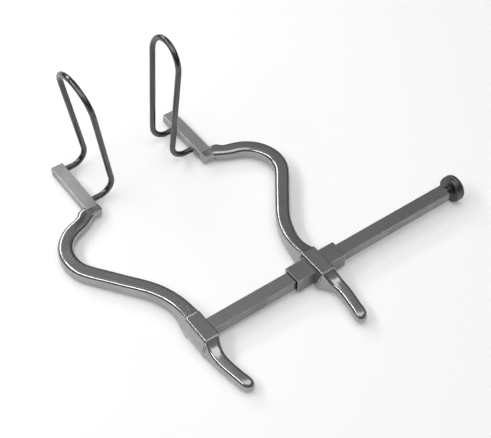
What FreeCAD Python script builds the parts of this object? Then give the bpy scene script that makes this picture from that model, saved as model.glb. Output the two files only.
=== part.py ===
import FreeCAD, Part
import math
import os

import Sketcher
from FreeCAD import Placement, Rotation, Vector

# Two-armed self-retaining retractor with wire-loop blades, lying upside down on a table.
# Units are millimetres. +Z is up, +X runs along the rail from the fixed arm to the end knob,
# +Y runs from the finger handles towards the blades. The origin is on the underside of the fixed
# arm's boss, in its middle, straight below the rail's centre line.

doc = FreeCAD.newDocument("retractor")

# Driving sizes
SIZES = {
    # rail
    "rail_width": 8.8,
    "rail_height": 6.7,
    "rail_axis_height": 6.3,
    "rail_length": 181.0,
    "rail_socket_depth": 6.0,
    "rail_edge_chamfer": 0.4,
    # rail boss of each arm, and how far along the rail the sliding one stands
    "boss_width": 9.0,
    "boss_height": 13.2,
    "boss_front": 11.0,
    "boss_back": 9.0,
    "boss_edge_radius": 0.6,
    "boss_corner_radius": 0.9,
    "fixed_inner_bulge": 0.3,
    "fixed_outer_bulge": 3.2,
    "sliding_inner_bulge": 3.2,
    "sliding_outer_bulge": 1.6,
    "sliding_neck_slimming": 1.5,
    "arm_gap": 73.5,
    # sleeve brazed through the sliding boss
    "sleeve_width": 12.4,
    "sleeve_height": 10.0,
    "sleeve_inner_reach": 14.3,
    "sleeve_outer_reach": 12.3,
    "guide_clearance": 0.08,
    "lock_play": 0.95,
    # centre line of the arms in plan, walked from the boss to the elbow
    "neck_length": 15.3,
    "splay_radius": 54.0,
    "splay_angle": 36.0,
    "splay_run": 33.4,
    "knee_radius": 23.5,
    "knee_angle": 103.0,
    "elbow_run": 19.6,
    # sections of the arms
    "arm_half_width": 4.8,
    "arm_height": 9.4,
    "elbow_inner_reach": 4.2,
    "elbow_outer_reach": 5.4,
    "elbow_height": 7.0,
    "arm_corner_radius": 2.6,
    "neck_lift": 0.4,
    # finger handles
    "handle_length": 46.8,
    "handle_half_width": 4.0,
    "handle_height": 7.7,
    "handle_swing": 2.1,
    "handle_tip_reach": 4.4,
    # lug and blade bar at the end of each arm
    "bar_width": 8.2,
    "bar_height": 6.5,
    "bar_length": 45.5,
    "bar_edge_chamfer": 0.3,
    "lug_length": 5.6,
    "lug_corner": 0.9,
    "lug_undercut_depth": 2.0,
    "lug_undercut_height": 3.0,
    "lug_overlap": 0.5,
    "seam_reach": 1.8,
    "gusset_width": 2.2,
    "gusset_length": 4.2,
    "gusset_root": 6.0,
    # fixed arm's wire loop, from the bar's seam and inner face
    "wire_diameter": 3.8,
    "wire_axis_height": 3.3,
    "wire_socket_depth": 5.0,
    "braze_gap": 0.02,
    "fixed_loop_start": 8.6,
    "fixed_loop_width": 33.4,
    "fixed_loop_run": 16.8,
    "fixed_loop_bend": 10.0,
    "fixed_loop_lean_angle": 7.6,
    "fixed_loop_spread_angle": 2.2,
    "fixed_loop_leg_height": 68.2,
    "fixed_loop_rise": 15.5,
    # sliding arm's wire loop
    "sliding_loop_start": 9.3,
    "sliding_loop_width": 22.7,
    "sliding_loop_run": 16.7,
    "sliding_loop_bend": 10.0,
    "sliding_loop_lean_angle": 5.6,
    "sliding_loop_spread_angle": 2.6,
    "sliding_loop_leg_height": 71.2,
    "sliding_loop_rise": 15.7,
    # end knob, one piece with its screw
    "knob_radius": 8.7,
    "knob_thickness": 6.0,
    "knob_rim_radius": 1.3,
    "knob_groove_width": 0.9,
    "knob_groove_depth": 0.45,
    "knob_collar_radius": 3.2,
    "knob_collar_height": 3.2,
    "screw_radius": 2.5,
    "screw_length": 9.0,
    "screw_clearance": 0.05,
    "screw_tip_gap": 1.5,
    "screw_chamfer": 0.5,
}

sheet = doc.addObject("Spreadsheet::Sheet", "sizes")
for row, (alias, value) in enumerate(SIZES.items(), start=1):
    sheet.set(f"A{row}", alias)
    sheet.set(f"B{row}", str(value))
    sheet.setAlias(f"B{row}", alias)
doc.recompute()

FIXED = -1
SLIDING = 1

# How far outside the boss the socket's cut begins, so that it opens through the swelling flank.
SOCKET_MOUTH = 1.0


def size(alias):
    """Read one named size back from the sheet."""
    return float(sheet.get(alias))


def evaluate(formula):
    """Work out a formula written with the sheet's names."""
    return float(sheet.evalExpression(formula))


# Drawing helpers
def add_body(label):
    """Start one separate piece of the retractor."""
    body = doc.addObject("PartDesign::Body", label)
    body.Label = label
    body.Placement = Placement()
    return body


def add_sketch(body, role, name, offset=None):
    """Attach a sketch to one of the body's origin planes, moved by the offset."""
    sketch = doc.addObject("Sketcher::SketchObject", name)
    body.addObject(sketch)
    plane = next(feature for feature in body.Origin.OriginFeatures if feature.Role == role)
    sketch.AttachmentSupport = [(plane, "")]
    sketch.MapMode = "FlatFace"
    if offset is not None:
        sketch.AttachmentOffset = offset
    sketch.Visibility = False
    return sketch


def bind(sketch, constraint, formula):
    """Add a constraint and tie its value to the sheet."""
    index = sketch.addConstraint(constraint)
    sketch.setExpression(f"Constraints[{index}]", formula)


def draw_polygon(sketch, points):
    """Draw a closed outline of straight lines and return the number of the first line."""
    first = sketch.GeometryCount
    corners = [Vector(x, y, 0) for x, y in points]
    for start, end in zip(corners, corners[1:] + corners[:1]):
        sketch.addGeometry(Part.LineSegment(start, end), False)
    last = sketch.GeometryCount - 1
    for line in range(first, last):
        sketch.addConstraint(Sketcher.Constraint("Coincident", line, 2, line + 1, 1))
    sketch.addConstraint(Sketcher.Constraint("Coincident", last, 2, first, 1))
    return first


def draw_rectangle(sketch, left, bottom, width, height):
    """Draw a rectangle from four formulas on the sheet."""
    x, y, wide, high = [evaluate(formula) for formula in (left, bottom, width, height)]
    first = draw_polygon(sketch, [(x, y), (x + wide, y), (x + wide, y + high), (x, y + high)])
    for line, kind in enumerate(("Horizontal", "Vertical", "Horizontal", "Vertical")):
        sketch.addConstraint(Sketcher.Constraint(kind, first + line))
    bind(sketch, Sketcher.Constraint("DistanceX", first, 1, first, 2, wide), width)
    bind(sketch, Sketcher.Constraint("DistanceY", first + 1, 1, first + 1, 2, high), height)
    bind(sketch, Sketcher.Constraint("DistanceX", -1, 1, first, 1, x), left)
    bind(sketch, Sketcher.Constraint("DistanceY", -1, 1, first, 1, y), bottom)


def draw_circle(sketch, x, y, radius):
    """Draw a circle from three formulas on the sheet."""
    centre = Vector(evaluate(x), evaluate(y), 0)
    circle = Part.Circle(centre, Vector(0, 0, 1), evaluate(radius))
    index = sketch.addGeometry(circle, False)
    bind(sketch, Sketcher.Constraint("Radius", index, circle.Radius), radius)
    bind(sketch, Sketcher.Constraint("DistanceX", -1, 1, index, 3, centre.x), x)
    bind(sketch, Sketcher.Constraint("DistanceY", -1, 1, index, 3, centre.y), y)


def draw_rounded_outline(sketch, corners, radius):
    """Draw a convex outline with every corner rounded."""
    count = len(corners)
    pieces = []
    for index in range(count):
        corner = corners[index]
        back = (corners[index - 1] - corner).normalize()
        ahead = (corners[(index + 1) % count] - corner).normalize()
        half = back.getAngle(ahead) / 2
        reach = radius / math.tan(half)
        middle = corner + (back + ahead).normalize() * (radius / math.sin(half) - radius)
        pieces.append((corner + back * reach, middle, corner + ahead * reach))
    for index, (start, middle, end) in enumerate(pieces):
        sketch.addGeometry(Part.Arc(start, middle, end), False)
        sketch.addGeometry(Part.LineSegment(end, pieces[(index + 1) % count][0]), False)


def add_pad(body, sketch, name, length, reverse=False):
    """Pad a sketch by a length given as a formula on the sheet."""
    pad = body.newObject("PartDesign::Pad", name)
    pad.Profile = sketch
    pad.setExpression("Length", length)
    pad.Reversed = reverse
    doc.recompute()
    return pad


def add_pocket(body, sketch, name, length, reverse=False):
    """Cut a sketch into the body and make sure that it removes metal."""
    before = body.Shape.Volume
    pocket = body.newObject("PartDesign::Pocket", name)
    pocket.Profile = sketch
    pocket.setExpression("Length", length)
    pocket.Reversed = reverse
    doc.recompute()
    if body.Shape.Volume > before - 1.0:
        raise RuntimeError(f"{body.Label}: {name} cut nothing")
    return pocket


def break_edges(body, kind, name, test, amount):
    """Fillet or chamfer the edges whose middle point passes a test."""
    names = []
    for index, edge in enumerate(body.Shape.Edges, start=1):
        if test(edge.valueAt((edge.FirstParameter + edge.LastParameter) / 2)):
            names.append(f"Edge{index}")
    if not names:
        raise RuntimeError(f"{body.Label}: {name} found no edges")
    tip = body.Tip
    feature = body.newObject(f"PartDesign::{kind}", name)
    feature.Base = (tip, names)
    feature.setExpression("Radius" if kind == "Fillet" else "Size", amount)
    doc.recompute()
    return feature


def along_rail(distance):
    """Offset that moves a sketch on the YZ plane along the rail."""
    return Placement(Vector(0, 0, distance), Rotation())


def upright(x, y, turn):
    """Offset that stands a sketch of the XZ plane at a point in plan, turned about the vertical."""
    plane = Placement(Vector(), Rotation(Vector(1, 0, 0), 90))
    wanted = Placement(Vector(x, y, 0), Rotation(Vector(0, 0, 1), turn)).multiply(plane)
    return plane.inverse().multiply(wanted)


# Forged arms
class PlanWalk:
    """Walks the arm's centre line in plan; the heading is measured from +Y towards outside."""

    def __init__(self, out, forward, at):
        self.out = out
        self.forward = forward
        self.at = at
        self.heading = 0.0
        self.stops = [(at, out, forward, 0.0)]

    def note(self, length):
        """Count the length walked and leave a stop."""
        self.at += length
        self.stops.append((self.at, self.out, self.forward, math.degrees(self.heading)))

    def straight(self, length, stops):
        """Go straight on."""
        step = length / stops
        for _ in range(stops):
            self.out += step * math.sin(self.heading)
            self.forward += step * math.cos(self.heading)
            self.note(step)

    def bend(self, radius, angle, stops):
        """Follow an arc; a positive angle turns outwards."""
        side = math.copysign(1.0, angle)
        step = math.radians(angle) / stops
        for _ in range(stops):
            before = self.heading
            self.heading += step
            self.out += side * radius * (math.cos(before) - math.cos(self.heading))
            self.forward += side * radius * (math.sin(self.heading) - math.sin(before))
            self.note(radius * abs(step))


def walk_arm():
    """Centre line of an arm, from inside its boss to inside its elbow."""
    start = size("boss_back") * 0.6
    walk = PlanWalk(size("boss_width") / 2, start, start)
    walk.straight(size("neck_length") - start, 2)
    walk.bend(size("splay_radius"), size("splay_angle"), 4)
    walk.straight(size("splay_run"), 3)
    walk.bend(size("knee_radius"), -size("knee_angle"), 8)
    walk.straight(size("elbow_run"), 2)
    return walk


ELBOW = walk_arm()
BAR_INNER = ELBOW.out - size("bar_width") / 2 - size("lug_overlap")
BAR_OUTER = BAR_INNER + size("bar_width")
BAR_START = ELBOW.forward + size("seam_reach")
INNER_FACES = {FIXED: size("boss_width") / 2, SLIDING: size("boss_width") / 2 + size("arm_gap")}
# How far each arm's flanks swell at the boss, on its inner and its outer side.
BULGES = {
    FIXED: (size("fixed_inner_bulge"), size("fixed_outer_bulge")),
    SLIDING: (size("sliding_inner_bulge"), size("sliding_outer_bulge")),
}

# How the forging's section changes along the arm, at shares of its centre line. Root is 1 at the
# boss and 0 along the arm; flare swells the foot of both flanks; slim thins the sliding arm's neck;
# lift raises the underside; taper brings the height and the inner side down to the elbow's; spread
# does the same with the outer side, which the flattened elbow pushes out.
ARM_LAW = [
    # at, root, flare, slim, lift, taper, spread
    (0.035, 0.97, 1.00, 0.10, 0.0, 0.00, 0.00),
    (0.062, 0.93, 0.97, 0.30, 0.0, 0.00, 0.00),
    (0.090, 0.78, 0.72, 0.80, 0.5, 0.00, 0.00),
    (0.130, 0.55, 0.28, 1.00, 1.0, 0.00, 0.00),
    (0.185, 0.37, 0.12, 0.50, 0.8, 0.00, 0.00),
    (0.240, 0.21, 0.00, 0.10, 0.5, 0.00, 0.00),
    (0.410, 0.00, 0.00, 0.00, 0.0, 0.00, 0.00),
    (0.540, 0.00, 0.00, 0.00, 0.0, 0.05, 0.30),
    (0.670, 0.00, 0.00, 0.00, 0.0, 0.17, 0.65),
    (0.760, 0.00, 0.00, 0.00, 0.0, 0.33, 0.80),
    (0.855, 0.00, 0.00, 0.00, 0.0, 0.60, 0.95),
    (0.945, 0.00, 0.00, 0.00, 0.0, 0.85, 1.00),
    (1.000, 0.00, 0.00, 0.00, 0.0, 1.00, 0.70),
]
# The same from the boss down the saddle and along the handle; swing moves it outwards.
HANDLE_LAW = [
    # at, root, flare, swing
    (0.215, 0.96, 1.00, 0.00),
    (0.245, 0.80, 1.00, 0.14),
    (0.277, 0.58, 0.92, 0.36),
    (0.312, 0.38, 0.74, 0.60),
    (0.352, 0.22, 0.50, 0.80),
    (0.400, 0.11, 0.27, 0.93),
    (0.462, 0.05, 0.11, 1.00),
    (0.557, 0.02, 0.03, 0.86),
    (0.670, 0.00, 0.00, 0.48),
    (0.784, 0.00, 0.00, 0.05),
    (0.897, 0.00, 0.00, -0.38),
]
HANDLE_TIP_SHARES = (0.5, 0.82, 0.97)
# Hollow edge of the gusset, as shares of its width out from the bar and of its length along it.
GUSSET_HOLLOW = ((1.0, 0.30), (0.6, 0.42), (0.3, 0.58), (0.1, 0.78), (0.0, 1.0))


class Section:
    """One cross-section: reach of each flank, swelling of the feet, height span, corner radius."""

    def __init__(self, inner, outer, flare, low, high, corner):
        self.inner = inner
        self.outer = outer
        self.flare = flare
        self.low = low
        self.high = high
        self.corner = corner


def read_law(law, at):
    """Values of a section law at a share of the length, straight between its rows."""
    for first, second in zip(law, law[1:]):
        if at <= second[0]:
            share = (at - first[0]) / (second[0] - first[0])
            return [a + share * (b - a) for a, b in zip(first[1:], second[1:])]
    return list(law[-1][1:])


def between(first, second, share):
    """Value at a share of the way from one named size to another."""
    return size(first) + share * (size(second) - size(first))


def arm_section(at, slimming):
    """Cross-section of an arm at a share of its centre line."""
    root, flare, slim, lift, taper, spread = read_law(ARM_LAW, at)
    to_boss = root * (size("boss_width") / 2 - size("arm_half_width"))
    inner = between("arm_half_width", "elbow_inner_reach", taper) + to_boss
    outer = between("arm_half_width", "elbow_outer_reach", spread) + to_boss - slim * slimming
    high = between("arm_height", "boss_height", root) + taper * (size("elbow_height") - size("arm_height"))
    corner = between("arm_corner_radius", "boss_corner_radius", root * root)
    return Section(inner, outer, flare, lift * size("neck_lift"), high, corner)


def handle_stops():
    """Stops of the saddle and the finger handle, closed by a rounded tip."""
    stops = []
    low = size("neck_lift") * 0.5
    for at, root, flare, swing in HANDLE_LAW:
        half = size("handle_half_width")
        half += root * (size("boss_width") / 2 - half)
        high = between("handle_height", "boss_height", root)
        corner = between("arm_corner_radius", "boss_corner_radius", root * root)
        section = Section(half, half, flare, low, high, corner)
        out = size("boss_width") / 2 + swing * size("handle_swing")
        stops.append((section, out, -at * size("handle_length"), 0.0))
    last, out, forward, _ = stops[-1]
    middle = (last.low + last.high) / 2
    slope = (stops[-2][1] - out) / (stops[-2][2] - forward)
    for share in HANDLE_TIP_SHARES:
        shrink = math.sqrt(1 - share * share)
        width = last.inner * shrink
        half = (last.high - last.low) / 2 * shrink
        reach = size("handle_tip_reach") * share
        tip = Section(width, width, 0.0, middle - half, middle + half, last.corner)
        stops.append((tip, out - slope * reach, forward - reach, 0.0))
    return stops


def add_loft(body, name, side, stops):
    """Loft the forging through upright sections given as (section, out, forward, heading)."""
    sketches = []
    for number, (section, out, forward, heading) in enumerate(stops, start=1):
        place = upright(INNER_FACES[side] + side * out, forward, -side * heading)
        sketch = add_sketch(body, "XZ_Plane", f"{name}_section_{number}", place)
        inner_bulge, outer_bulge = BULGES[side]
        corners = [
            Vector(-side * (section.inner + section.flare * inner_bulge), section.low, 0),
            Vector(side * (section.outer + section.flare * outer_bulge), section.low, 0),
            Vector(side * section.outer, section.high, 0),
            Vector(-side * section.inner, section.high, 0),
        ]
        room = 0.46 * min(section.inner + section.outer, section.high - section.low)
        draw_rounded_outline(sketch, corners, min(section.corner, room))
        sketches.append(sketch)
    loft = body.newObject("PartDesign::AdditiveLoft", name)
    loft.Profile = sketches[0]
    loft.Sections = sketches[1:]
    loft.Ruled = False
    doc.recompute()
    return loft


def add_boss(body, side):
    """Boss with a flat top and two swelling flanks."""
    front = Placement(Vector(0, 0, size("boss_front")), Rotation())
    sketch = add_sketch(body, "XZ_Plane", "boss_section", front)
    middle = INNER_FACES[side] + side * size("boss_width") / 2
    half = size("boss_width") / 2
    high = size("boss_height")
    tops = []
    feet = []
    for sign, bulge in zip((-side, side), BULGES[side]):
        top = Vector(middle + sign * half, high, 0)
        swell = Vector(middle + sign * (half + bulge), high * 0.36, 0)
        foot = Vector(middle + sign * (half + bulge * 0.7), 0, 0)
        sketch.addGeometry(Part.Arc(top, swell, foot), False)
        tops.append(top)
        feet.append(foot)
    sketch.addGeometry(Part.LineSegment(*tops), False)
    sketch.addGeometry(Part.LineSegment(*feet), False)
    add_pad(body, sketch, "boss", "sizes.boss_front + sizes.boss_back", reverse=True)
    break_edges(
        body, "Fillet", "boss_edges",
        lambda point: point.z > high - 0.01 and abs(point.x - middle) > half - 0.01,
        "sizes.boss_edge_radius")


def add_lug(body, side):
    """Elbow lug that carries the blade bar, with a hollow gusset beside the bar."""
    face = INNER_FACES[side]
    back = BAR_START - size("lug_length")
    corner = size("lug_corner")
    ahead = BAR_START + size("lug_length") / 2
    lug = add_sketch(body, "XY_Plane", "lug_outline")
    outline = [
        (BAR_INNER, ahead),
        (BAR_INNER, back + corner),
        (BAR_INNER + corner, back),
        (BAR_OUTER, back),
        (BAR_OUTER, ahead),
    ]
    draw_polygon(lug, [(face + side * out, forward) for out, forward in outline])
    add_pad(body, lug, "lug", "sizes.elbow_height")
    gusset = add_sketch(body, "XY_Plane", "gusset_outline")
    wide = size("gusset_width")
    long = size("gusset_length")
    outline = [(BAR_OUTER - corner, BAR_START - corner), (BAR_OUTER + wide, BAR_START - corner)]
    for across, along in GUSSET_HOLLOW:
        outline.append((BAR_OUTER + across * wide, BAR_START + along * long))
    outline.append((BAR_OUTER - corner, BAR_START + long))
    draw_polygon(gusset, [(face + side * out, forward) for out, forward in outline])
    add_pad(body, gusset, "gusset", "sizes.gusset_root")


def undercut_lug(body, side):
    """Grind the underside of the lug's end away at a slant."""
    inner = INNER_FACES[side] + side * (BAR_INNER - size("lug_corner"))
    sketch = add_sketch(body, "YZ_Plane", "undercut_outline", along_rail(inner))
    back = BAR_START - size("lug_length")
    deep = size("lug_undercut_depth")
    high = size("lug_undercut_height")
    corners = [(back - 1, -1), (back + deep * (1 + 1 / high), -1), (back - 1, high * (1 + 1 / deep))]
    draw_polygon(sketch, corners)
    add_pocket(body, sketch, "undercut", "sizes.bar_width + sizes.lug_corner", reverse=side > 0)


def cut_bar_seat(body, side):
    """Square off the elbow where the blade bar's end is brazed on."""
    below = Placement(Vector(0, 0, -1), Rotation())
    sketch = add_sketch(body, "XY_Plane", "bar_seat_outline", below)
    face = INNER_FACES[side]
    end = BAR_START + size("bar_length")
    outline = [(BAR_INNER, BAR_START), (BAR_OUTER, BAR_START), (BAR_OUTER, end), (BAR_INNER, end)]
    draw_polygon(sketch, [(face + side * out, forward) for out, forward in outline])
    add_pocket(body, sketch, "bar_seat", "sizes.boss_height + 2", reverse=True)


def forge_arm(label, side, slimming):
    """Build one forging: boss, S-shaped arm, elbow lug, saddle and finger handle."""
    body = add_body(label)
    add_boss(body, side)
    stops = []
    for at, out, forward, heading in ELBOW.stops:
        stops.append((arm_section(at / ELBOW.at, slimming), out, forward, heading))
    add_loft(body, "arm", side, stops)
    add_loft(body, "handle", side, handle_stops())
    add_lug(body, side)
    undercut_lug(body, side)
    cut_bar_seat(body, side)
    return body


def build_fixed_arm():
    """Arm at the end of the rail, with a blind socket for it."""
    body = forge_arm("fixed_arm", FIXED, 0.0)
    mouth = along_rail(INNER_FACES[FIXED] + size("fixed_inner_bulge") + SOCKET_MOUTH)
    sketch = add_sketch(body, "YZ_Plane", "socket_outline", mouth)
    draw_rectangle(
        sketch, "-sizes.rail_width / 2", "sizes.rail_axis_height - sizes.rail_height / 2",
        "sizes.rail_width", "sizes.rail_height")
    depth = f"sizes.rail_socket_depth + sizes.fixed_inner_bulge + {SOCKET_MOUTH}"
    add_pocket(body, sketch, "rail_socket", depth)


def build_sliding_arm():
    """Mirror-image arm with a window through its boss for the sleeve."""
    body = forge_arm("sliding_arm", SLIDING, size("sliding_neck_slimming"))
    place = along_rail(INNER_FACES[SLIDING] - size("boss_width"))
    sketch = add_sketch(body, "YZ_Plane", "window_outline", place)
    draw_rectangle(
        sketch, "-sizes.sleeve_width / 2", "sizes.rail_axis_height - sizes.sleeve_height / 2",
        "sizes.sleeve_width", "sizes.sleeve_height")
    add_pocket(body, sketch, "sleeve_window", "sizes.boss_width * 3", reverse=True)


# Rail, sleeve, blade bars and knob
def build_rail():
    """Rectangular rail, drilled at its free end for the knob's screw."""
    body = add_body("rail_bar")
    start = INNER_FACES[FIXED] - size("rail_socket_depth")
    sketch = add_sketch(body, "YZ_Plane", "rail_section", along_rail(start))
    draw_rectangle(
        sketch, "-sizes.rail_width / 2", "sizes.rail_axis_height - sizes.rail_height / 2",
        "sizes.rail_width", "sizes.rail_height")
    add_pad(body, sketch, "rail", "sizes.rail_length + sizes.rail_socket_depth")
    end = INNER_FACES[FIXED] + size("rail_length")
    break_edges(
        body, "Chamfer", "rail_end_edges",
        lambda point: point.x > end - 0.01,
        "sizes.rail_edge_chamfer")
    hole = add_sketch(body, "YZ_Plane", "screw_hole_outline", along_rail(end))
    draw_circle(hole, "0", "sizes.rail_axis_height", "sizes.screw_radius + sizes.screw_clearance")
    add_pocket(body, hole, "screw_hole", "sizes.screw_length + sizes.screw_tip_gap")


def build_sleeve():
    """Oblong sleeve; the play in its bore lets the arm tilt and bite on the rail."""
    body = add_body("slider_sleeve")
    place = along_rail(INNER_FACES[SLIDING] - size("sleeve_inner_reach"))
    length = "sizes.sleeve_inner_reach + sizes.boss_width + sizes.sleeve_outer_reach"
    sketch = add_sketch(body, "YZ_Plane", "sleeve_section", place)
    draw_rectangle(
        sketch, "-sizes.sleeve_width / 2", "sizes.rail_axis_height - sizes.sleeve_height / 2",
        "sizes.sleeve_width", "sizes.sleeve_height")
    add_pad(body, sketch, "sleeve", length)
    bore = add_sketch(body, "YZ_Plane", "bore_section", place)
    draw_rectangle(
        bore, "-sizes.rail_width / 2 - sizes.lock_play",
        "sizes.rail_axis_height - sizes.rail_height / 2 - sizes.guide_clearance",
        "sizes.rail_width + sizes.lock_play + sizes.guide_clearance",
        "sizes.rail_height + sizes.lock_play + sizes.guide_clearance")
    add_pocket(body, bore, "bore", length, reverse=True)


def build_blade_bar(label, side, loop):
    """Flat-topped bar at the arm's end with two blind holes for the wire's feet."""
    body = add_body(label)
    middle = INNER_FACES[side] + side * (BAR_INNER + BAR_OUTER) / 2
    place = Placement(Vector(middle, 0, -BAR_START), Rotation())
    sketch = add_sketch(body, "XZ_Plane", "bar_section", place)
    draw_rectangle(sketch, "-sizes.bar_width / 2", "0", "sizes.bar_width", "sizes.bar_height")
    add_pad(body, sketch, "bar", "sizes.bar_length", reverse=True)
    end = BAR_START + size("bar_length")
    break_edges(
        body, "Chamfer", "bar_end_edges",
        lambda point: point.y > end - 0.01,
        "sizes.bar_edge_chamfer")
    holes = add_sketch(body, "YZ_Plane", "foot_holes", along_rail(INNER_FACES[side] + side * BAR_INNER))
    for foot in (loop.near, loop.far):
        draw_circle(holes, str(foot), "sizes.wire_axis_height", "sizes.wire_diameter / 2 + sizes.braze_gap")
    add_pocket(body, holes, "wire_sockets", "sizes.wire_socket_depth", reverse=side > 0)


def build_knob():
    """Round end knob in one piece with its screw; it stops the sliding arm."""
    body = add_body("end_knob")
    end = INNER_FACES[FIXED] + size("rail_length")
    place = Placement(Vector(end, size("rail_axis_height"), 0), Rotation())
    sketch = add_sketch(body, "XZ_Plane", "knob_profile", place)
    near = size("knob_collar_height")
    far = near + size("knob_thickness")
    radius = size("knob_radius")
    rim = size("knob_rim_radius")
    middle = (near + far) / 2
    groove = size("knob_groove_width") / 2
    floor = radius - size("knob_groove_depth")
    bevel = rim * (1 - math.sqrt(0.5))
    screw = size("screw_radius")
    chamfer = size("screw_chamfer")
    outline = [
        (-size("screw_length"), 0.0),
        (-size("screw_length"), screw - chamfer),
        (-size("screw_length") + chamfer, screw),
        (0.0, screw),
        (0.0, size("knob_collar_radius")),
        (near, size("knob_collar_radius")),
        (near, radius - rim),
        (near + bevel, radius - bevel),
        (near + rim, radius),
        (middle - groove, radius),
        (middle - groove * 0.6, floor),
        (middle + groove * 0.6, floor),
        (middle + groove, radius),
        (far - rim, radius),
        (far - bevel, radius - bevel),
        (far, radius - rim),
        (far, 0.0),
    ]
    draw_polygon(sketch, outline)
    turned = body.newObject("PartDesign::Revolution", "turned_knob")
    turned.Profile = sketch
    turned.ReferenceAxis = (sketch, ["H_Axis"])
    turned.Angle = 360
    doc.recompute()


# Wire loops
class LoopShape:
    """Bent shape of one wire loop: a foot at each end, a bend, a straight leg and a round top.

    The loop leans outwards over its bar, and its legs spread a little on the way up.
    """

    def __init__(self, name):
        self.near = BAR_START + size(f"{name}_start")
        self.far = self.near + size(f"{name}_width")
        self.run = size(f"{name}_run")
        self.bend = size(f"{name}_bend")
        self.lean = math.radians(size(f"{name}_lean_angle"))
        self.spread = math.radians(size(f"{name}_spread_angle"))
        self.leg_height = size(f"{name}_leg_height")
        self.rise = size(f"{name}_rise")

    def corner_radius(self, half):
        """Radius of the round top's two corners, tangent to the legs and to the flatter crown."""
        side_corner = math.cos(self.spread) - math.cos(CORNER_TURN)
        side_crown = math.cos(CORNER_TURN)
        up_corner = math.sin(CORNER_TURN) + math.sin(self.spread)
        up_crown = 1 - math.sin(CORNER_TURN)
        scale = side_corner * up_crown - side_crown * up_corner
        return (half * up_crown - side_crown * self.rise) / scale


CORNER_TURN = math.radians(50)
FIXED_LOOP = LoopShape("fixed_loop")
SLIDING_LOOP = LoopShape("sliding_loop")


def wire_path(side, loop):
    """Centre line of one loop: foot, bend, leg, round top, leg, bend, foot."""
    inner_face = INNER_FACES[side] + side * BAR_INNER
    up = Vector(side * math.sin(loop.lean), 0, math.cos(loop.lean))
    foot_height = size("wire_axis_height")
    base = Vector(inner_face - side * loop.run, (loop.far + loop.near) / 2, foot_height)
    half_foot = (loop.far - loop.near) / 2
    leg_length = loop.leg_height / math.cos(loop.lean)
    half_top = half_foot + leg_length * math.tan(loop.spread)
    corner_radius = loop.corner_radius(half_top)

    def in_loop(across, height):
        return base + Vector(0, across, 0) + up * height

    def on_corner(sign, turn):
        inwards = corner_radius * (math.cos(loop.spread) - math.cos(turn))
        climb = corner_radius * (math.sin(loop.spread) + math.sin(turn))
        return in_loop(sign * (half_top - inwards), leg_length + climb)

    half_paths = {}
    for sign, foot in ((1, loop.far), (-1, loop.near)):
        corner = in_loop(sign * half_foot, 0)
        leg_end = in_loop(sign * half_top, leg_length)
        leg = (leg_end - corner).normalize()
        run = Vector(side, 0, 0)
        half_angle = run.getAngle(leg) / 2
        start = corner + run * (loop.bend / math.tan(half_angle))
        finish = corner + leg * (loop.bend / math.tan(half_angle))
        middle = corner + (run + leg).normalize() * (loop.bend / math.sin(half_angle) - loop.bend)
        socket_end = Vector(inner_face + side * size("wire_socket_depth"), foot, foot_height)
        turned = (CORNER_TURN - loop.spread) / 2
        half_paths[sign] = [
            Part.makeLine(socket_end, start),
            Part.Arc(start, middle, finish).toShape(),
            Part.makeLine(finish, leg_end),
            Part.Arc(leg_end, on_corner(sign, turned), on_corner(sign, CORNER_TURN)).toShape(),
        ]
    crown = Part.Arc(
        on_corner(1, CORNER_TURN), in_loop(0, leg_length + loop.rise), on_corner(-1, CORNER_TURN))
    return Part.Wire(half_paths[1] + [crown.toShape()] + half_paths[-1][::-1])


def build_wire_blade(label, side, loop):
    """Sweep the round wire along its bent centre line."""
    body = add_body(label)
    path = doc.addObject("Part::Feature", f"{label}_path")
    path.Shape = wire_path(side, loop)
    socket_end = INNER_FACES[side] + side * (BAR_INNER + size("wire_socket_depth"))
    sketch = add_sketch(body, "YZ_Plane", "wire_section", along_rail(socket_end))
    draw_circle(sketch, str(loop.far), "sizes.wire_axis_height", "sizes.wire_diameter / 2")
    pipe = body.newObject("PartDesign::AdditivePipe", "wire")
    pipe.Profile = sketch
    pipe.Spine = (path, [f"Edge{number}" for number in range(1, len(path.Shape.Edges) + 1)])
    doc.recompute()


# Build every piece
build_rail()
build_fixed_arm()
build_blade_bar("fixed_blade_bar", FIXED, FIXED_LOOP)
build_wire_blade("fixed_wire_blade", FIXED, FIXED_LOOP)
build_sliding_arm()
build_sleeve()
build_blade_bar("sliding_blade_bar", SLIDING, SLIDING_LOOP)
build_wire_blade("sliding_wire_blade", SLIDING, SLIDING_LOOP)
build_knob()
doc.recompute()

# Check and write
os.makedirs("parts", exist_ok=True)
for item in doc.Objects:
    if "Invalid" in item.State or "Error" in item.State:
        raise RuntimeError(f"{item.Label}: {item.State}")

bodies = [item for item in doc.Objects if item.TypeId == "PartDesign::Body"]
for body in bodies:
    shape = body.Shape
    if shape.isNull() or not shape.isValid() or len(shape.Solids) != 1:
        raise RuntimeError(f"{body.Label}: not one sound solid")
    shape.exportStep(os.path.join("parts", f"{body.Label}.step"))
    box = shape.BoundBox
    print(f"{body.Label}: {shape.Volume:.0f} mm3, {box.XLength:.1f} x {box.YLength:.1f} x {box.ZLength:.1f}")
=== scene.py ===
import logging
import math
from dataclasses import dataclass, field
from enum import Enum

import bmesh
import bpy
from mathutils import Matrix, Vector


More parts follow.
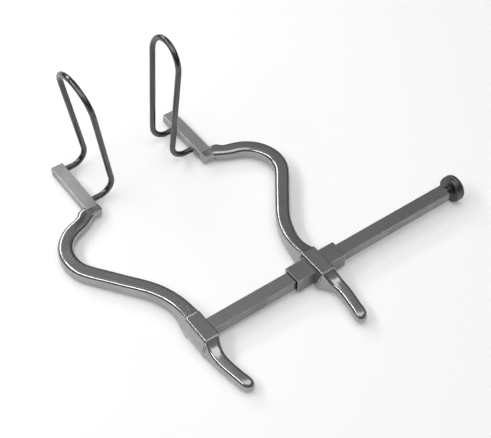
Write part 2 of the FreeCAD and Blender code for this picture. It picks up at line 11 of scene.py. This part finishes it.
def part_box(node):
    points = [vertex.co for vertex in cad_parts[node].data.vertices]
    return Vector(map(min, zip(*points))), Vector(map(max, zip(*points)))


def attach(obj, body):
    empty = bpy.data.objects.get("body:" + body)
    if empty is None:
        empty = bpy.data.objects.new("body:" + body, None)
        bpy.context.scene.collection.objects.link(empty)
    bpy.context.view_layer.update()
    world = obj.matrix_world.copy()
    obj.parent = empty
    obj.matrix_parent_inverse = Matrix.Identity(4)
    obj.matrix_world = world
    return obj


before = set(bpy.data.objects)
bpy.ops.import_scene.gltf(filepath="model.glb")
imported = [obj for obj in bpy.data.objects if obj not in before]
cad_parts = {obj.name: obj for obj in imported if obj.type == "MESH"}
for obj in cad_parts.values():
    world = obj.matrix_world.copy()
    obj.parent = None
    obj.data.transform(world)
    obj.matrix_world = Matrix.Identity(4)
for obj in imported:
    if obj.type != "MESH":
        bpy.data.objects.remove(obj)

log = logging.getLogger("retractor")

MM = 0.001
PHOTO_WIDTH = 491
SENSOR_WIDTH = 36.0

# Colour steps of a steel finish: dulled in smudges, and brightened on edges as a painted highlight
DULLED_SHARE = 0.72
EDGE_HIGHLIGHT_GAIN = 2.4
EDGE_HIGHLIGHT_LIMIT = 0.9

# Strength of the masks, and the samples of the two edge finders
MASK_GAIN = 2.0
SMEAR_GAIN = 0.4
MASK_SAMPLES = 6
SOFT_SAMPLES = 16

# Colour sockets of the Mix node, and the spacing of nodes in a tree
MIX_COLOURS = (6, 7)
MIX_RESULT = 2
NODE_SPACING = 200


# Node helpers
class Grain(Enum):
    """Direction in which a surface was drawn or ground, as stretch along each axis."""

    ALONG_X = (0.04, 1.0, 1.0)
    ALONG_Y = (1.0, 0.05, 1.0)
    ALL_ROUND = (1.0, 1.0, 1.0)


@dataclass
class NodeBench:
    """Places and links nodes in one tree."""

    tree: bpy.types.NodeTree
    column: int = 0

    def add(self, kind: str, **settings: object) -> bpy.types.Node:
        """Add a node and set its properties.

        Args:
            kind: The node's type name.
            settings: Properties by name.

        Returns:
            The new node.
        """
        node = self.tree.nodes.new(kind)
        node.location = (self.column * NODE_SPACING, 0)
        self.column += 1
        for name, value in settings.items():
            setattr(node, name, value)
        return node

    def link(self, source: bpy.types.NodeSocket, target: bpy.types.NodeSocket) -> None:
        """Link one socket to another."""
        self.tree.links.new(source, target)

    def fill(self, target: bpy.types.NodeSocket, value: object) -> None:
        """Give an input its value.

        Args:
            target: The input.
            value: A socket to link, or a plain value to set.
        """
        if isinstance(value, bpy.types.NodeSocket):
            self.link(value, target)
        else:
            target.default_value = value

    def math(
        self, operation: str, first: object, second: object = 0.0, clamp: bool = False,
    ) -> bpy.types.NodeSocket:
        """Add a Math node.

        Args:
            operation: The Math node's operation.
            first: A socket or a number.
            second: A socket or a number.
            clamp: Whether the result is held between 0 and 1.

        Returns:
            The result's socket.
        """
        node = self.add("ShaderNodeMath", operation=operation, use_clamp=clamp)
        self.fill(node.inputs[0], first)
        self.fill(node.inputs[1], second)
        return node.outputs[0]

    def spread(
        self, value: bpy.types.NodeSocket, start: float, stop: float,
        low: float = 0.0, high: float = 1.0,
    ) -> bpy.types.NodeSocket:
        """Spread one range of values over another, held at its ends.

        Args:
            value: The socket to read.
            start: Value that gives the low result.
            stop: Value that gives the high result.
            low: Result at the start.
            high: Result at the stop.

        Returns:
            The result's socket.
        """
        node = self.add("ShaderNodeMapRange")
        for index, part in enumerate((value, start, stop, low, high)):
            self.fill(node.inputs[index], part)
        return node.outputs[0]

    def noise(
        self, vector: bpy.types.NodeSocket, scale: object, detail: float = 2.0,
        roughness: float = 0.5, distortion: float = 0.0,
    ) -> bpy.types.NodeSocket:
        """Add solid noise.

        Args:
            vector: The coordinates that it reads.
            scale: A socket or a number.
            detail: Number of finer layers.
            roughness: Strength of each finer layer.
            distortion: How far the noise is bent.

        Returns:
            The noise's socket.
        """
        node = self.add("ShaderNodeTexNoise", noise_dimensions="3D")
        self.link(vector, node.inputs["Vector"])
        self.fill(node.inputs["Scale"], scale)
        node.inputs["Detail"].default_value = detail
        node.inputs["Roughness"].default_value = roughness
        node.inputs["Distortion"].default_value = distortion
        return node.outputs["Fac"]

    def blend(
        self, mask: bpy.types.NodeSocket, gain: float, first: object, second: object,
    ) -> bpy.types.NodeSocket:
        """Blend two colours by a mask.

        Args:
            mask: 0 shows the first colour.
            gain: What the mask is multiplied by before it is held between 0 and 1.
            first: A socket or a colour.
            second: A socket or a colour.

        Returns:
            The blended colour's socket.
        """
        share = self.math("MULTIPLY", mask, gain, clamp=True)
        node = self.add("ShaderNodeMix", data_type="RGBA")
        self.link(share, node.inputs[0])
        for index, value in zip(MIX_COLOURS, (first, second)):
            linked = isinstance(value, bpy.types.NodeSocket)
            self.fill(node.inputs[index], value if linked else (*value, 1.0))
        return node.outputs[MIX_RESULT]

    def place_group(
        self, tree: bpy.types.NodeTree, vector: bpy.types.NodeSocket, **values: float,
    ) -> bpy.types.NodeSocket:
        """Place a shared group in the tree.

        Args:
            tree: The group's tree.
            vector: The coordinates that it reads.
            values: Number inputs by name.

        Returns:
            The socket of the group's mask.
        """
        node = self.add("ShaderNodeGroup")
        node.node_tree = tree
        self.link(vector, node.inputs["Vector"])
        for name, value in values.items():
            node.inputs[name].default_value = value
        return node.outputs[0]


# Shared node groups
GroupParts = tuple[NodeBench, bpy.types.Node, bpy.types.Node]


def new_group(name: str, inputs: dict[str, float], mask: str) -> GroupParts:
    """Start a shader node group.

    Args:
        name: The group's name.
        inputs: Default value of each number input, by name; a Vector input comes first.
        mask: Name of the mask that the group puts out.

    Returns:
        The bench for the group's tree, its input node and its output node.
    """
    tree = bpy.data.node_groups.new(name, "ShaderNodeTree")
    tree.interface.new_socket("Vector", in_out="INPUT", socket_type="NodeSocketVector")
    for label, value in inputs.items():
        socket = tree.interface.new_socket(label, in_out="INPUT", socket_type="NodeSocketFloat")
        socket.default_value = value
    tree.interface.new_socket(mask, in_out="OUTPUT", socket_type="NodeSocketFloat")
    bench = NodeBench(tree)
    return bench, bench.add("NodeGroupInput"), bench.add("NodeGroupOutput")


def build_grain_group() -> bpy.types.NodeTree:
    """Make the fine scratch grain that polishing and drawing leave.

    Returns:
        A group with a Grain mask output.
    """
    bench, start, end = new_group("fine_grain", {"Scale": 900.0}, "Grain")
    fine = bench.noise(start.outputs["Vector"], start.outputs["Scale"], detail=4.0, roughness=0.65)
    bench.link(fine, end.inputs["Grain"])
    return bench.tree


def build_smudge_group() -> bpy.types.NodeTree:
    """Make the soft patches that handling and washing leave on steel.

    Returns:
        A group with a Smudge mask output.
    """
    bench, start, end = new_group("handling_smudges", {"Scale": 40.0}, "Smudge")
    broad = bench.noise(
        start.outputs["Vector"], start.outputs["Scale"], detail=5.0, roughness=0.6, distortion=0.8)
    bench.link(bench.spread(broad, 0.36, 0.64), end.inputs["Smudge"])
    return bench.tree


def build_edge_group() -> bpy.types.NodeTree:
    """Make the mask of edges that take a painted highlight.

    The normal of a softened edge turns away from the surface's own. The more it does, the
    stronger the mask, and noise breaks it up along the edge.

    Returns:
        A group with an Edge mask output.
    """
    bench, start, end = new_group("painted_edge_highlight", {"Scale": 300.0, "Width": 0.5 * MM}, "Edge")
    softened = bench.add("ShaderNodeBevel", samples=MASK_SAMPLES)
    bench.link(start.outputs["Width"], softened.inputs["Radius"])
    plain = bench.add("ShaderNodeNewGeometry")
    alike = bench.add("ShaderNodeVectorMath", operation="DOT_PRODUCT")
    bench.link(softened.outputs["Normal"], alike.inputs[0])
    bench.link(plain.outputs["Normal"], alike.inputs[1])
    sharp = bench.spread(alike.outputs["Value"], 0.995, 0.9)
    broken = bench.noise(start.outputs["Vector"], start.outputs["Scale"])
    worn = bench.spread(broken, 0.3, 0.6, low=0.4)
    bench.link(bench.math("MULTIPLY", sharp, worn), end.inputs["Edge"])
    return bench.tree


def build_turned_group() -> bpy.types.NodeTree:
    """Make the rings that a lathe tool leaves round an axis through the origin along X.

    Returns:
        A group with a Rings mask output.
    """
    bench, start, end = new_group("turned_rings", {"Scale": 1500.0}, "Rings")
    split = bench.add("ShaderNodeSeparateXYZ")
    bench.link(start.outputs["Vector"], split.inputs[0])
    across = bench.math("MULTIPLY", split.outputs["Y"], split.outputs["Y"])
    above = bench.math("MULTIPLY", split.outputs["Z"], split.outputs["Z"])
    radius = bench.math("SQRT", bench.math("ADD", across, above))
    place = bench.add("ShaderNodeCombineXYZ")
    bench.link(split.outputs["X"], place.inputs["X"])
    bench.link(radius, place.inputs["Y"])
    bench.link(bench.noise(place.outputs[0], start.outputs["Scale"]), end.inputs["Rings"])
    return bench.tree


# Finishes
@dataclass(frozen=True)
class SteelFinish:
    """One finish of stainless steel.

    Attributes:
        name: The material's name.
        colour: Colour of the clean steel.
        roughness: Lowest and highest roughness, spread with the grain.
        grain: Direction in which the surface was drawn or ground.
        grain_scale: Fineness of the grain.
        grain_height: Height of the grain, in millimetres.
        wave_scale: Fineness of the slow unevenness of hand polishing.
        wave_height: Height of that unevenness, in millimetres.
        smudge: How much smudges darken and roughen the steel.
        edge: How much the painted highlight brightens edges.
        edge_width: How far from an edge the painted highlight reaches, in millimetres.
        softness: Radius by which edges look rounded, in millimetres; 0 leaves them sharp.
        streaks: How much the grain darkens the steel.
    """

    name: str
    colour: tuple[float, float, float]
    roughness: tuple[float, float]
    grain: Grain
    grain_scale: float
    grain_height: float
    wave_scale: float = 60.0
    wave_height: float = 0.0
    smudge: float = 0.15
    edge: float = 0.25
    edge_width: float = 0.5
    softness: float = 0.0
    streaks: float = 0.1

    def material(
        self, groups: dict[str, bpy.types.NodeTree], axis: Vector | None = None,
    ) -> bpy.types.Material:
        """Build the finish as a node material.

        Args:
            groups: The shared node groups by name.
            axis: A point on the axis of a turned piece, or None where nothing was turned.

        Returns:
            The material.
        """
        made = bpy.data.materials.new(self.name)
        made.use_nodes = True
        made.diffuse_color = (*self.colour, 1.0)
        made.node_tree.nodes.clear()
        bench = NodeBench(made.node_tree)
        place = bench.add("ShaderNodeTexCoord").outputs["Object"]
        grain = self.grain_mask(bench, groups, place, axis)
        smudge = bench.place_group(groups["smudge"], place)
        # Mask of the painted highlight laid along edges
        edge = bench.place_group(groups["edge"], place, Width=self.edge_width * MM)

        shader = bench.add("ShaderNodeBsdfPrincipled")
        shader.inputs["Metallic"].default_value = 1.0
        bench.link(self.tint(bench, grain, smudge, edge), shader.inputs["Base Color"])
        bench.link(self.sheen(bench, grain, smudge), shader.inputs["Roughness"])
        bench.link(self.relief(bench, grain, place), shader.inputs["Normal"])
        end = bench.add("ShaderNodeOutputMaterial")
        bench.link(shader.outputs[0], end.inputs[0])
        return made

    def grain_mask(
        self, bench: NodeBench, groups: dict[str, bpy.types.NodeTree],
        place: bpy.types.NodeSocket, axis: Vector | None,
    ) -> bpy.types.NodeSocket:
        """Run the grain along the drawn direction, or in rings round the axis.

        Args:
            bench: The bench of the material's tree.
            groups: The shared node groups by name.
            place: The piece's own coordinates.
            axis: A point on the axis of a turned piece, or None.

        Returns:
            The grain mask's socket.
        """
        drawn = bench.add("ShaderNodeMapping")
        bench.link(place, drawn.inputs["Vector"])
        if axis is None:
            drawn.inputs["Scale"].default_value = self.grain.value
        else:
            drawn.inputs["Location"].default_value = -axis
        tree = groups["grain" if axis is None else "turned"]
        return bench.place_group(tree, drawn.outputs[0], Scale=self.grain_scale)

    def tint(
        self, bench: NodeBench, grain: bpy.types.NodeSocket, smudge: bpy.types.NodeSocket,
        edge: bpy.types.NodeSocket,
    ) -> bpy.types.NodeSocket:
        """Darken the colour in streaks and smudges, and brighten it on edges as a painted highlight.

        Args:
            bench: The bench of the material's tree.
            grain: The grain mask.
            smudge: The smudge mask.
            edge: The mask of the painted edge highlight.

        Returns:
            The colour's socket.
        """
        dulled = tuple(part * DULLED_SHARE for part in self.colour)
        # Painted highlight: a brighter copy of the colour, laid on edges
        edge_highlight = tuple(min(EDGE_HIGHLIGHT_LIMIT, part * EDGE_HIGHLIGHT_GAIN) for part in self.colour)
        streaky = bench.blend(grain, self.streaks * MASK_GAIN, self.colour, dulled)
        smudged = bench.blend(smudge, self.smudge * MASK_GAIN, streaky, dulled)
        return bench.blend(edge, self.edge, smudged, edge_highlight)

    def sheen(
        self, bench: NodeBench, grain: bpy.types.NodeSocket, smudge: bpy.types.NodeSocket,
    ) -> bpy.types.NodeSocket:
        """Vary the roughness with the grain and the smudges.

        Args:
            bench: The bench of the material's tree.
            grain: The grain mask.
            smudge: The smudge mask.

        Returns:
            The roughness's socket.
        """
        rough = bench.spread(grain, 0.0, 1.0, *self.roughness)
        smeared = bench.math("MULTIPLY", smudge, self.smudge * SMEAR_GAIN)
        return bench.math("ADD", rough, smeared, clamp=True)

    def relief(
        self, bench: NodeBench, grain: bpy.types.NodeSocket, place: bpy.types.NodeSocket,
    ) -> bpy.types.NodeSocket:
        """Raise the grain and the waves, over softened edges where the finish has them.

        Args:
            bench: The bench of the material's tree.
            grain: The grain mask.
            place: The piece's own coordinates.

        Returns:
            The normal's socket.
        """
        waves = bench.math("MULTIPLY", bench.noise(place, self.wave_scale), self.wave_height)
        height = bench.math("ADD", bench.math("MULTIPLY", grain, self.grain_height), waves)
        bump = bench.add("ShaderNodeBump")
        bump.inputs["Distance"].default_value = MM
        bump.inputs["Strength"].default_value = 1.0
        bench.link(height, bump.inputs["Height"])
        if self.softness:
            softened = bench.add("ShaderNodeBevel", samples=SOFT_SAMPLES)
            softened.inputs["Radius"].default_value = self.softness * MM
            bench.link(softened.outputs["Normal"], bump.inputs["Normal"])
        return bump.outputs["Normal"]


POLISHED = SteelFinish(
    "polished_forging", (0.40, 0.40, 0.395), (0.10, 0.16), Grain.ALL_ROUND,
    grain_scale=2500.0, grain_height=0.0003, wave_scale=45.0, wave_height=0.14, smudge=0.25,
    edge=0.1, softness=1.2)
RAIL_SATIN = SteelFinish(
    "satin_rail", (0.34, 0.34, 0.34), (0.22, 0.34), Grain.ALONG_X,
    grain_scale=1100.0, grain_height=0.004, smudge=0.5, edge=0.3, softness=0.4, streaks=0.35)
SLEEVE_SATIN = SteelFinish(
    "satin_sleeve", (0.30, 0.30, 0.30), (0.24, 0.36), Grain.ALONG_X,
    grain_scale=1000.0, grain_height=0.004, smudge=0.3, edge=0.9, softness=0.4, streaks=0.2)
BAR_MATT = SteelFinish(
    "matt_bar", (0.42, 0.42, 0.415), (0.36, 0.48), Grain.ALONG_Y,
    grain_scale=1300.0, grain_height=0.004, smudge=0.3, edge=0.9, edge_width=0.9,
    softness=0.6, streaks=0.25)
WIRE_DRAWN = SteelFinish(
    "drawn_wire", (0.14, 0.14, 0.138), (0.08, 0.18), Grain.ALL_ROUND,
    grain_scale=700.0, grain_height=0.01, wave_scale=120.0, wave_height=0.08, smudge=0.45,
    edge=0.0, streaks=0.45)
KNOB_DULL = SteelFinish(
    "dull_knob", (0.14, 0.14, 0.138), (0.22, 0.38), Grain.ALL_ROUND,
    grain_scale=650.0, grain_height=0.5, smudge=0.3, edge=0.3, softness=0.6, streaks=0.8)
BRAZE = SteelFinish(
    "silver_braze", (0.40, 0.39, 0.36), (0.28, 0.45), Grain.ALL_ROUND,
    grain_scale=1500.0, grain_height=0.02, smudge=0.4, edge=0.0)


# Pieces
def dress_node(node: str, material: bpy.types.Material) -> None:
    """Give one of the instrument's pieces its finish.

    Args:
        node: The piece's name.
        material: The finish.
    """
    piece = bpy.data.objects[node]
    if not piece.material_slots:
        piece.data.materials.append(material)
    for slot in piece.material_slots:
        slot.material = material


def make_object(
    name: str, shape: bmesh.types.BMesh, material: bpy.types.Material,
) -> bpy.types.Object:
    """Make an object at the origin from a finished shape.

    Args:
        name: Name of the object and its mesh.
        shape: The shape, which is freed.
        material: The finish.

    Returns:
        The object.
    """
    mesh = bpy.data.meshes.new(name)
    shape.to_mesh(mesh)
    shape.free()
    mesh.materials.append(material)
    made = bpy.data.objects.new(name, mesh)
    bpy.context.scene.collection.objects.link(made)
    return made


# Sub-assemblies
@dataclass
class Rail:
    """The rail with its end knob."""

    rail_node: str = "rail_bar"
    knob_node: str = "end_knob"

    def dress(self, finishes: dict[str, bpy.types.Material]) -> None:
        """Give the rail and the knob their finishes."""
        dress_node(self.rail_node, finishes[RAIL_SATIN.name])
        dress_node(self.knob_node, finishes[KNOB_DULL.name])


@dataclass
class Arm:
    """One arm with its blade bar, its wire loop and, where it slides, its sleeve."""

    arm_node: str
    bar_node: str
    wire_node: str
    body: str
    sleeve_node: str | None = None
    fillet_leg: float = 0.9 * MM
    fillet_embed: float = 0.1 * MM
    fillet_steps: int = 6
    turn_steps: int = 40

    def dress(self, finishes: dict[str, bpy.types.Material]) -> None:
        """Give the arm's pieces their finishes.

        Args:
            finishes: Materials by name.
        """
        dress_node(self.arm_node, finishes[POLISHED.name])
        dress_node(self.bar_node, finishes[BAR_MATT.name])
        dress_node(self.wire_node, finishes[WIRE_DRAWN.name])
        if self.sleeve_node:
            dress_node(self.sleeve_node, finishes[SLEEVE_SATIN.name])

    def find_feet(self) -> tuple[list[tuple[float, float, float]], float]:
        """Find the wire's feet from their ends inside the bar.

        Returns:
            The y, z and radius of each foot, and the side of the bar that they leave: 1 or -1.
        """
        bar_low, bar_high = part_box(self.bar_node)
        wire_low, wire_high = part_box(self.wire_node)
        side = math.copysign(1.0, wire_low.x + wire_high.x - bar_low.x - bar_high.x)
        buried = wire_low.x if side > 0 else wire_high.x
        points = [vertex.co for vertex in bpy.data.objects[self.wire_node].data.vertices]
        ends = [point for point in points if abs(point.x - buried) < self.fillet_embed]
        middle = (min(point.y for point in ends) + max(point.y for point in ends)) / 2
        feet = []
        for chosen in ([p for p in ends if p.y < middle], [p for p in ends if p.y > middle]):
            low_y, high_y = min(p.y for p in chosen), max(p.y for p in chosen)
            low_z, high_z = min(p.z for p in chosen), max(p.z for p in chosen)
            feet.append(((low_y + high_y) / 2, (low_z + high_z) / 2, (high_y - low_y) / 2))
        return feet, side

    def fillet_outline(self, radius: float) -> list[tuple[float, float]]:
        """Draw the hollow section of a fillet.

        Args:
            radius: The wire's radius.

        Returns:
            The section's corners in order: distance from the bar's face, and from the wire's axis.
        """
        outline = [
            (-self.fillet_embed, radius - self.fillet_embed),
            (-self.fillet_embed, radius + self.fillet_leg),
        ]
        for step in range(self.fillet_steps + 1):
            angle = math.pi / 2 * step / self.fillet_steps
            along = self.fillet_leg * (1 - math.cos(angle))
            out = self.fillet_leg * (1 - math.sin(angle))
            outline.append((along, radius + out))
        outline.append((self.fillet_leg, radius - self.fillet_embed))
        return outline

    def braze_feet(self, finish: bpy.types.Material) -> None:
        """Run a fillet of braze round each foot of the wire, where it enters the bar.

        Args:
            finish: The braze's material.
        """
        bar_low, bar_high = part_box(self.bar_node)
        feet, side = self.find_feet()
        face = bar_high.x if side > 0 else bar_low.x
        for label, (across, height, radius) in zip(("near", "far"), feet):
            shape = bmesh.new()
            corners = [
                shape.verts.new((face + side * along, across, height + out))
                for along, out in self.fillet_outline(radius)]
            edges = [shape.edges.new(pair) for pair in zip(corners, corners[1:] + corners[:1])]
            bmesh.ops.spin(
                shape, geom=corners + edges, cent=(face, across, height), axis=(1, 0, 0),
                angle=2 * math.pi, steps=self.turn_steps, use_merge=True, use_duplicate=False)
            bmesh.ops.remove_doubles(shape, verts=shape.verts, dist=self.fillet_embed / 10)
            bmesh.ops.recalc_face_normals(shape, faces=shape.faces)
            for facet in shape.faces:
                facet.smooth = True
            piece = make_object(f"{self.arm_node}_{label}_braze", shape, finish)
            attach(piece, self.body)


# Studio
@dataclass(frozen=True)
class Softbox:
    """An oblong area lamp aimed at a point."""

    name: str
    place: tuple[float, float, float]
    target: tuple[float, float, float]
    width: float
    height: float
    power: float

    def hang(self) -> None:
        """Hang the lamp in its place and aim it."""
        data = bpy.data.lights.new(self.name, "AREA")
        data.shape = "RECTANGLE"
        data.size = self.width
        data.size_y = self.height
        data.energy = self.power
        lamp = bpy.data.objects.new(self.name, data)
        lamp.location = self.place
        aim = Vector(self.target) - Vector(self.place)
        lamp.rotation_mode = "QUATERNION"
        lamp.rotation_quaternion = aim.to_track_quat("-Z", "Y")
        bpy.context.scene.collection.objects.link(lamp)


@dataclass
class Studio:
    """Pale table top, soft light and the camera."""

    focal_pixels: float = 1107.35
    camera_place: tuple[float, float, float] = (-0.19810, -0.31506, 0.51504)
    camera_right: tuple[float, float, float] = (0.810748, -0.585394, 0.001411)
    camera_back: tuple[float, float, float] = (-0.392255, -0.541466, 0.743607)
    clip_start: float = 0.01
    clip_end: float = 50.0
    floor_size: float = 6.0
    floor_gap: float = 0.05 * MM
    knob_half_thickness: float = 3.0 * MM
    floor_colour: tuple[float, float, float] = (0.94, 0.94, 0.94)
    floor_lift: float = 0.18
    sky: tuple[tuple[float, float], ...] = (
        (0.0, 0.7), (0.01, 0.7), (0.10, 0.10), (0.45, 0.14), (0.72, 0.36), (1.0, 0.5))
    lamps: list[Softbox] = field(default_factory=lambda: [
        Softbox("overhead_softbox", (0.22, -0.12, 1.25), (0.07, 0.05, 0.0), 1.0, 1.0, 3.9),
        Softbox("back_softbox", (-0.02, 1.10, 0.68), (0.05, 0.07, 0.0), 0.9, 0.20, 3.6),
        Softbox("back_left_softbox", (-0.52, 0.70, 0.90), (0.05, 0.07, 0.0), 0.55, 0.18, 2.5),
        Softbox("left_softbox", (-0.76, 0.16, 0.88), (0.03, 0.08, 0.0), 0.6, 0.20, 2.4),
    ])

    def lay_floor(self) -> None:
        """Lay the table top under the points that the instrument stands on.

        The knob's rim reaches below the undersides of the arms, so the rail's far end is held up
        a little, and the table is drawn with that small slope instead.
        """
        knob_low, knob_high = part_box("end_knob")
        arm_low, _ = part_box("fixed_arm")
        knob_x = knob_high.x - self.knob_half_thickness
        slope = math.atan2(-knob_low.z + arm_low.z, knob_x - arm_low.x)
        turn = Matrix.Rotation(slope, 3, "Y")
        shape = bmesh.new()
        bmesh.ops.create_grid(shape, x_segments=1, y_segments=1, size=self.floor_size / 2)
        bmesh.ops.rotate(shape, verts=shape.verts, cent=(0, 0, 0), matrix=turn)
        height = arm_low.z + arm_low.x * math.tan(slope) - self.floor_gap
        bmesh.ops.translate(shape, verts=shape.verts, vec=(0, 0, height))
        make_object("table_top", shape, self.floor_material())

    def floor_material(self) -> bpy.types.Material:
        """Make the table top's matt white, a little lifted where it is seen or mirrored.

        Returns:
            The material.
        """
        made = bpy.data.materials.new("pale_table")
        made.use_nodes = True
        made.node_tree.nodes.clear()
        bench = NodeBench(made.node_tree)
        matt = bench.add("ShaderNodeBsdfDiffuse")
        matt.inputs["Color"].default_value = (*self.floor_colour, 1.0)
        path = bench.add("ShaderNodeLightPath")
        seen = bench.math("MAXIMUM", path.outputs["Is Camera Ray"], path.outputs["Is Glossy Ray"])
        seen = bench.math("MAXIMUM", seen, path.outputs["Is Transmission Ray"])
        glow = bench.add("ShaderNodeEmission")
        bench.link(bench.math("MULTIPLY", seen, self.floor_lift), glow.inputs["Strength"])
        both = bench.add("ShaderNodeAddShader")
        bench.link(matt.outputs[0], both.inputs[0])
        bench.link(glow.outputs[0], both.inputs[1])
        end = bench.add("ShaderNodeOutputMaterial")
        bench.link(both.outputs[0], end.inputs[0])
        return made

    def light_world(self) -> None:
        """Make the room: a pale line at the horizon, a dark band above it, brighter overhead."""
        world = bpy.data.worlds.new("studio_room")
        world.use_nodes = True
        bpy.context.scene.world = world
        world.node_tree.nodes.clear()
        bench = NodeBench(world.node_tree)
        place = bench.add("ShaderNodeTexCoord")
        split = bench.add("ShaderNodeSeparateXYZ")
        bench.link(place.outputs["Generated"], split.inputs[0])
        ramp = bench.add("ShaderNodeValToRGB")
        stops = ramp.color_ramp.elements
        for index, (at, value) in enumerate(self.sky):
            stop = stops[index] if index < len(stops) else stops.new(at)
            stop.position = at
            stop.color = (value, value, value, 1.0)
        bench.link(bench.math("MAXIMUM", split.outputs["Z"], 0.0), ramp.inputs[0])
        back = bench.add("ShaderNodeBackground")
        bench.link(ramp.outputs[0], back.inputs[0])
        end = bench.add("ShaderNodeOutputWorld")
        bench.link(back.outputs[0], end.inputs[0])

    def place_camera(self) -> None:
        """Set the camera at the photograph's angle and distance."""
        right = Vector(self.camera_right).normalized()
        back = Vector(self.camera_back).normalized()
        up = back.cross(right)
        turn = Matrix((right, up, back)).transposed().to_4x4()
        data = bpy.data.cameras.new("camera")
        data.sensor_width = SENSOR_WIDTH
        data.lens = self.focal_pixels / PHOTO_WIDTH * SENSOR_WIDTH
        data.clip_start = self.clip_start
        data.clip_end = self.clip_end
        camera = bpy.data.objects.new("camera", data)
        camera.matrix_world = Matrix.Translation(Vector(self.camera_place)) @ turn
        bpy.context.scene.collection.objects.link(camera)
        bpy.context.scene.camera = camera

    def build(self) -> None:
        """Lay the floor, light the room and place the camera."""
        self.lay_floor()
        self.light_world()
        for lamp in self.lamps:
            lamp.hang()
        self.place_camera()
        bpy.context.scene.view_settings.view_transform = "Standard"


def main() -> None:
    """Build the retractor's looks and its studio in order."""
    logging.basicConfig(level=logging.INFO, format="%(name)s: %(message)s")
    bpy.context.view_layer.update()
    groups = {
        "grain": build_grain_group(),
        "turned": build_turned_group(),
        "smudge": build_smudge_group(),
        "edge": build_edge_group(),
    }
    finishes = {}
    for finish in (POLISHED, RAIL_SATIN, SLEEVE_SATIN, BAR_MATT, WIRE_DRAWN, BRAZE):
        finishes[finish.name] = finish.material(groups)
    knob_low, knob_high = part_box("end_knob")
    finishes[KNOB_DULL.name] = KNOB_DULL.material(groups, axis=(knob_low + knob_high) / 2)
    log.info("%d finishes", len(finishes))
    Rail().dress(finishes)
    log.info("rail and end knob")
    for arm in (
        Arm("fixed_arm", "fixed_blade_bar", "fixed_wire_blade", "fixed_side"),
        Arm("sliding_arm", "sliding_blade_bar", "sliding_wire_blade", "sliding_side", "slider_sleeve"),
    ):
        arm.dress(finishes)
        arm.braze_feet(finishes[BRAZE.name])
        log.info("%s", arm.arm_node)
    Studio().build()
    log.info("studio")


if __name__ == "__main__":
    main()
